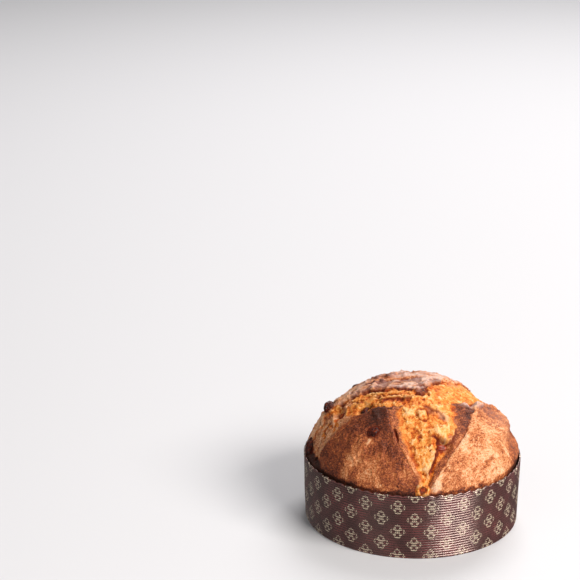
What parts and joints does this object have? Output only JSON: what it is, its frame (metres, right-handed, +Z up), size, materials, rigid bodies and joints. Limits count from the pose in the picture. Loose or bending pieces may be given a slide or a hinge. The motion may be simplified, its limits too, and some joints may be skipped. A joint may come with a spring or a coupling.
{
  "type": "panettone",
  "caption": "Low domed panettone with a cross-slashed, burst crust and fruit, in a round fluted paper baking mould that it stands in.",
  "frame": {"origin": "centre of the mould's underside, where it stands", "axes": "+Z up; -Y is the front, where the slash between the two front flaps comes down; +X is to the right seen from the front"},
  "size_m": [0.215, 0.215, 0.145],
  "materials": {
    "baked_loaf": "baked crust and torn crumb",
    "printed_board": "printed, fluted, faint sheen",
    "base_board": "matte",
    "raisin": "wrinkled, sticky",
    "candied_peel": "sugared, translucent"
  },
  "bodies": {
    "root": {"loaf": "baked_loaf", "case_wall": "printed_board", "case_base": "base_board", "raisin_front_left": "raisin", "raisin_left_slot": "raisin", "raisin_left_shoulder": "raisin", "raisin_left_rim": "raisin", "raisin_right_arm": "raisin", "raisin_back_tear": "raisin", "raisin_back_left": "raisin", "raisin_back_right": "raisin", "candied_peel_front": "candied_peel", "candied_peel_notch": "candied_peel", "candied_peel_left_band": "candied_peel", "candied_peel_back_tear": "candied_peel"}
  },
  "joints": []
}
